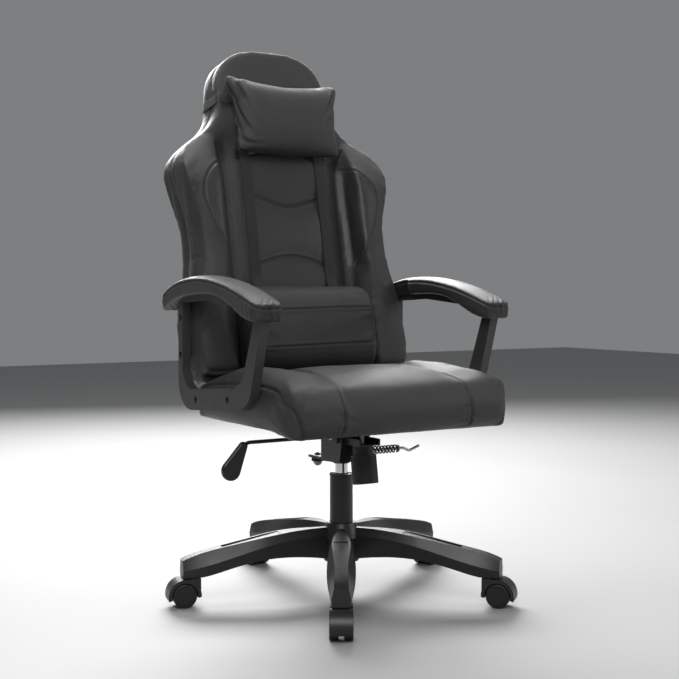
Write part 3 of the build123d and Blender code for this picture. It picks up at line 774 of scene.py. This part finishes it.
def makeHeadrestPillow():
    piece = cadCopy("headrest_pillow", "headrest_pillow_cover")
    voxelRemesh(piece, pillow["voxel"])
    middle = pillowShape(piece)
    relax(piece, 8)
    seam = pillowSeam(surfaceOf(piece), middle)
    back = toBack(getPoints(piece))[:, 2] < toBack(getPoints(piece))[:, 2].min() + 0.006
    inflate(piece, pillow["pressure"], pillow["cap"], nearSeams(piece, [seam], 0.006) | back)
    applyModifier(piece, "SUBSURF", levels=1, render_levels=1)
    seam = pillowSeam(surfaceOf(piece), middle)
    sewSeams(piece, [seam], width=0.0024, depth=0.0026, pucker=0.35)
    for place, along, reach, spread, period, depth in [
            ((-0.125, 1.120), (1, 0.1, -0.35), 0.045, 0.040, 0.017, 0.0026),
            ((-0.128, 1.050), (1, 0.1, -0.10), 0.040, 0.035, 0.015, 0.0022),
            ((-0.112, 0.990), (1, 0.1, 0.45), 0.035, 0.032, 0.016, 0.0018),
            ((0.128, 1.130), (-1, 0.1, -0.35), 0.040, 0.036, 0.017, 0.0022),
            ((0.128, 1.060), (-1, 0.1, 0.05), 0.035, 0.030, 0.014, 0.0024)]:
        spot = fromBack([(place[0], riseOf(place[1], 0.08), 0.080)])[0]
        creases(piece, spot, along, reach, spread, period, depth)
    setMask(piece, "smoothPanelAndSheen", np.zeros(len(piece.data.vertices)))
    finishPiece(piece, "seat", leatherMaterial, ["headrest_pillow"])
    print("headrest pillow", len(piece.data.polygons))


makeHeadrestPillow()


# ---- lumbar pillow
lumbar = {"voxel": 0.005, "cap": 0.008, "pressure": 4.0, "upperSeam": 0.614, "lowerSeam": 0.533,
          "endInset": 0.013}


def lumbarSeams(tree):
    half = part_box("lumbar_pillow")[1].x
    across = np.linspace(-half + 0.016, half - 0.016, 60)
    lines = []
    for height in (lumbar["upperSeam"], lumbar["lowerSeam"]):
        flat = [(x, riseOf(height, 0.11) + 0.003 * math.sin(9 * x), 0.25) for x in across]
        lines.append(castOnto(tree, fromBack(flat), -forwards))
    for side in (-1, 1):
        arc = [(side * (half - lumbar["endInset"]), riseOf(0.5625, 0.043) + 0.094 * math.cos(t),
                0.043 + 0.078 * math.sin(t)) for t in np.linspace(0.12, math.pi - 0.12, 60)]
        lines.append(ontoSurface(tree, fromBack(arc)))
    return lines


def makeLumbarPillow():
    piece = cadCopy("lumbar_pillow", "lumbar_pillow_cover")
    voxelRemesh(piece, lumbar["voxel"])
    relax(piece, 8)
    seams = lumbarSeams(surfaceOf(piece))
    flat = toBack(getPoints(piece))[:, 2] < 0.050
    inflate(piece, lumbar["pressure"], lumbar["cap"], nearSeams(piece, seams, 0.006) | flat)
    surfaceWaves(piece, 0.0006, 0.09)
    applyModifier(piece, "SUBSURF", levels=1, render_levels=1)
    seams = lumbarSeams(surfaceOf(piece))
    sewSeams(piece, seams, width=0.0020, depth=0.0024, pucker=0.25)
    for side in (-1, 1):
        for height in (0.55, 0.60, 0.64):
            spot = fromBack([(side * 0.140, riseOf(height, 0.11), 0.110)])[0]
            creases(piece, spot, (side, 0, 0.15), 0.030, 0.030, 0.014, 0.0013)
    setMask(piece, "smoothPanelAndSheen", np.zeros(len(piece.data.vertices)))
    finishPiece(piece, "seat", leatherMaterial, ["lumbar_pillow"])
    stitchRow("lumbar_stitches", piece, seams[:2], 0.005, "seat")
    print("lumbar pillow", len(piece.data.polygons))


makeLumbarPillow()


# ---- arm pads
armPad = {"voxel": 0.004, "cap": 0.004, "pressure": 3.0, "seamDrop": 0.012, "wrinkle": 0.0010,
          "middle": 0.2825, "halfWidth": 0.0325, "corner": 0.026, "front": -0.199, "rear": 0.262}
padCrown = [(-0.199, 0.634), (-0.150, 0.651), (-0.050, 0.677), (0.070, 0.690), (0.190, 0.676), (0.262, 0.642)]


def padSeams(tree, side):
    crown = smoothCurve([(0, y, z) for y, z in padCrown], 0.003)
    plan, r = [], armPad["corner"]
    for cx, cy, start in ((1, armPad["rear"], 0), (-1, armPad["rear"], 90), (-1, armPad["front"], 180),
                          (1, armPad["front"], 270)):
        middle = (cx * (armPad["halfWidth"] - r), cy - math.copysign(r, cy))
        turns = [math.radians(start + a) for a in range(0, 91, 9)]
        plan += [(middle[0] + r * math.cos(a), middle[1] + r * math.sin(a)) for a in turns]
    plan.append(plan[0])
    line = []
    for (x0, y0), (x1, y1) in zip(plan, plan[1:]):
        count = max(1, int(math.hypot(x1 - x0, y1 - y0) / 0.004))
        line += [(x0 + (x1 - x0) * k / count, y0 + (y1 - y0) * k / count) for k in range(count)]
    line.append(line[0])
    heights = np.interp([y for _, y in line], crown[:, 1], crown[:, 2]) - armPad["seamDrop"]
    return [ontoSurface(tree, [(side * armPad["middle"] + x, y, z) for (x, y), z in zip(line, heights)])]


def makeArmPad(side, name):
    node = "armrest_pad_" + name
    piece = cadCopy(node, node + "_cover")
    voxelRemesh(piece, armPad["voxel"])
    points = getPoints(piece)
    crown = np.interp(points[:, 1], [p[0] for p in padCrown], [p[1] for p in padCrown])
    across = (np.abs(points[:, 0]) - armPad["middle"]) / armPad["halfWidth"]
    top = smoothStep(-0.020, -0.004, points[:, 2] - crown)
    points[:, 2] -= top * np.abs(across) ** 3 * 0.006
    setPoints(piece, points)
    relax(piece, 14)
    seams = padSeams(surfaceOf(piece), side)
    under = getNormals(piece)[:, 2] < -0.5
    inflate(piece, armPad["pressure"], armPad["cap"], nearSeams(piece, seams, 0.005) | under)
    applyModifier(piece, "SUBSURF", levels=1, render_levels=1)
    seams = padSeams(surfaceOf(piece), side)
    sewSeams(piece, seams, width=0.0022, depth=0.0020, pucker=0.3)
    creases(piece, (side * 0.283, -0.190, 0.618), (0, 0.15, 1), 0.022, 0.045, 0.011, armPad["wrinkle"])
    creases(piece, (side * 0.283, 0.250, 0.640), (0, 0.15, 1), 0.022, 0.040, 0.013, armPad["wrinkle"])
    setMask(piece, "smoothPanelAndSheen", np.zeros(len(piece.data.vertices)))
    finishPiece(piece, "seat", leatherMaterial, [node])
    stitchRow("arm_stitches_" + name, piece, seams, 0.0045, "seat")
    print("arm pad", name, len(piece.data.polygons))


makeArmPad(-1, "right")
makeArmPad(1, "left")


# ---- straps: woven ribbons laid along their paths
strap = {"width": 0.026, "thickness": 0.0014, "lumbarX": 0.099, "lift": 0.0014}
band = {"width": 0.022, "thickness": 0.0012, "height": 1.097}


# a grid whose rows follow two edge lines, with its UV across and along the strap
def ribbon(name, left, right, thickness, closed=False):
    rows, columns = len(left), 5
    deselectAll()
    bpy.ops.mesh.primitive_grid_add(x_subdivisions=columns - 1, y_subdivisions=rows - 1, size=1)
    piece = bpy.context.object
    piece.name = piece.data.name = name
    flat = getPoints(piece)
    across = flat[:, 0] + 0.5
    row = np.rint((flat[:, 1] + 0.5) * (rows - 1)).astype(int)
    points = np.array(left)[row] * (1 - across[:, None]) + np.array(right)[row] * across[:, None]
    setPoints(piece, points)
    if closed:
        pick(piece)
        bpy.ops.object.mode_set(mode="EDIT")
        bpy.ops.mesh.select_all(action="SELECT")
        bpy.ops.mesh.remove_doubles(threshold=0.0001)
        bpy.ops.object.mode_set(mode="OBJECT")
    applyModifier(piece, "SOLIDIFY", thickness=thickness, offset=0)
    applyModifier(piece, "BEVEL", width=thickness * 0.3, segments=2, limit_method="ANGLE")
    return piece


def tautFront(x, low, high):  # the strap bridges hollows in the cover, so only its high places carry it
    tree = surfaceOf(backCover)
    places = []
    for rise in np.linspace(low, high, 50):
        depths = [0.040]
        for offset in (-0.5, -0.25, 0, 0.25, 0.5):
            start = fromBack([(x + offset * strap["width"], rise, 0.25)])[0]
            spot = tree.ray_cast(Vector(start), -forwards)[0]
            if spot is not None:
                depths.append(toBack([spot])[0][2])
        places.append((rise, max(depths) + strap["lift"]))
    carried = []
    for place in places:
        while len(carried) > 1 and ((carried[-1][0] - carried[-2][0]) * (place[1] - carried[-2][1])
                                    >= (carried[-1][1] - carried[-2][1]) * (place[0] - carried[-2][0])):
            carried.pop()
        carried.append(place)
    rises, depths = zip(*carried)
    return [(0, rise, float(np.interp(rise, rises, depths))) for rise, _ in places[::4]]


# from the pillow's top through the slot, over its sill and down the rear to the slider
def makeLumbarStraps():
    rearDepth, sill = -0.0465, riseOf(0.977)
    for side, name in ((-1, "right"), (1, "left")):
        front = tautFront(side * strap["lumbarX"], riseOf(0.690, 0.043), sill - 0.014)
        path = smoothCurve([(0, riseOf(0.650, 0.043), front[0][2] + 0.012)] + front
                           + [(0, sill - 0.001, 0.0415), (0, sill, 0.0275), (0, sill, rearDepth + 0.016),
                              (0, sill - 0.004, rearDepth + 0.003), (0, sill - 0.020, rearDepth - 0.0007),
                              (0, 0.46, rearDepth - 0.0007), (0, 0.386, rearDepth - 0.0007)], 0.004)
        edges = []
        for offset in (-1, 1):
            line = path.copy()
            line[:, 0] = side * strap["lumbarX"] + offset * strap["width"] / 2
            edges.append(fromBack(line))
        piece = ribbon("lumbar_strap_" + name, edges[0], edges[1], strap["thickness"])
        finishPiece(piece, "seat", webbingMaterial, ["lumbar_straps"], angle=40)


def makeHeadrestBand():  # elastic loop drawn tight round the headrest
    trees = [surfaceOf(backCover), surfaceOf(rearCover)]
    middle = riseOf(band["height"])
    loops = []
    for offset in (-1, 1):
        loop = []
        for turn in np.linspace(0, 2 * math.pi, 121):
            out = np.array([math.cos(turn), 0, math.sin(turn)])
            start = fromBack([(0.35 * out[0], middle + offset * band["width"] / 2, 0.35 * out[2])])[0]
            end = fromBack([(0, middle + offset * band["width"] / 2, 0)])[0]
            hits = [t.ray_cast(Vector(start), Vector(end - start)) for t in trees]
            reach = min([h[3] for h in hits if h[0] is not None], default=0.2)
            loop.append(0.35 - reach + band["thickness"] / 2 + 0.0006)
        loop = np.array(loop)
        for _ in range(3):
            loop[:-1] = np.maximum(loop[:-1], (np.roll(loop[:-1], 1) + np.roll(loop[:-1], -1)) / 2)
        loop[-1] = loop[0]
        turn = np.linspace(0, 2 * math.pi, 121)
        loops.append(fromBack(np.c_[loop * np.cos(turn), np.full(121, middle + offset * band["width"] / 2),
                                    loop * np.sin(turn)]))
    piece = ribbon("headrest_band", loops[0], loops[1], band["thickness"], closed=True)
    finishPiece(piece, "seat", webbingMaterial, ["headrest_strap"], angle=40)


makeLumbarStraps()
makeHeadrestBand()


# ---- dust cover under the seat board
underCover = {"sag": 0.004, "grid": 0.03}


def makeDustCover():
    piece = cadCopy("dust_cover", "dust_cover_cloth")
    low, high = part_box("dust_cover")
    pick(piece)
    bpy.ops.object.mode_set(mode="EDIT")
    for axis, start, end in ((0, low.x, high.x), (1, low.y, high.y)):
        normal = (1, 0, 0) if axis == 0 else (0, 1, 0)
        for step in np.arange(start + underCover["grid"] / 2, end, underCover["grid"]):
            bpy.ops.mesh.select_all(action="SELECT")
            bpy.ops.mesh.bisect(plane_co=[step * c for c in normal], plane_no=normal)
    bpy.ops.object.mode_set(mode="OBJECT")
    points = getPoints(piece)
    edge = np.minimum.reduce([points[:, 0] - low.x, high.x - points[:, 0], points[:, 1] - low.y,
                              high.y - points[:, 1]])
    hole = np.maximum(np.abs(points[:, 0]) - 0.104, np.maximum(-0.116 - points[:, 1], points[:, 1] - 0.099))
    room = np.minimum(edge, np.maximum(hole, 0))
    points[:, 2] -= underCover["sag"] * smoothStep(0.006, 0.05, room)
    setPoints(piece, points)
    finishPiece(piece, "seat", coverMaterial, ["dust_cover"], angle=40)


makeDustCover()


def makeLockSpring():
    piece = cadCopy("lock_spring", "lock_coil")
    finishPiece(piece, "mechanism", springMaterial, ["lock_spring"], angle=40)
    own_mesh(piece)


def makeTensionSpring():  # the bolt's head and the tightened knob close it as the seat leans back
    piece = cadCopy("tension_spring", "tension_coil")
    finishPiece(piece, "mechanism", springMaterial, ["tension_spring"], angle=40)
    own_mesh(piece)


makeLockSpring()
makeTensionSpring()
print("springs ready")


# ---- camera, floor and light
camera = {"distance": 2.6, "height": 0.661, "heading": 32, "lens": 63.4, "shiftX": -0.0027, "shiftY": -0.0742}
studio = {"floor": 0.34, "world": 0.24, "key": 60, "fill": 22, "rim": 230, "top": 80}


def makeCamera():
    turn = math.radians(camera["heading"])
    deselectAll()
    place = (-math.sin(turn) * camera["distance"], -math.cos(turn) * camera["distance"], camera["height"])
    bpy.ops.object.camera_add(location=place, rotation=(math.pi / 2, 0, -turn))
    made = bpy.context.object
    made.data.lens, made.data.sensor_width = camera["lens"], 36
    made.data.shift_x, made.data.shift_y = camera["shiftX"], camera["shiftY"]
    made.data.clip_end = 60
    bpy.context.scene.camera = made


def areaLight(name, place, target, size, power, tone=(1, 1, 1)):
    deselectAll()
    turn = (Vector(target) - Vector(place)).to_track_quat("-Z", "Y").to_euler()
    bpy.ops.object.light_add(type="AREA", location=place, rotation=turn)
    light = bpy.context.object
    light.name = name
    light.data.shape, light.data.size, light.data.size_y = "RECTANGLE", size[0], size[1]
    light.data.energy, light.data.color = power, tone


def makeStudio():
    deselectAll()
    bpy.ops.mesh.primitive_plane_add(size=16, location=(0, 0, 0))
    floor = bpy.context.object
    floor.name = "studio_floor"
    s = Shader("pale_floor")
    cloud = s.noise(1.5, 3)
    paint = s.mix(cloud, grey(studio["floor"] * 0.97), grey(studio["floor"] * 1.03))
    s.set(Base_Color=paint, Roughness=0.6 + cloud * 0.1)
    floor.data.materials.append(s.material)
    world = bpy.data.worlds.new("studio_world")
    world.use_nodes = True
    world.node_tree.nodes["Background"].inputs[0].default_value = (0.86, 0.88, 0.90, 1)
    world.node_tree.nodes["Background"].inputs[1].default_value = studio["world"]
    bpy.context.scene.world = world
    middle = (0, 0, 0.6)
    areaLight("key_light", (-1.6, -2.2, 2.5), middle, (1.6, 1.6), studio["key"])
    areaLight("fill_light", (2.6, -1.6, 1.6), middle, (1.8, 1.8), studio["fill"])
    areaLight("top_light", (0.1, 0.9, 2.9), middle, (2.4, 1.4), studio["top"])
    areaLight("rim_light", (1.1, 2.9, 2.3), middle, (2.6, 1.4), studio["rim"])
    bpy.context.scene.view_settings.view_transform = "Standard"


makeCamera()
makeStudio()
print("camera and light ready")
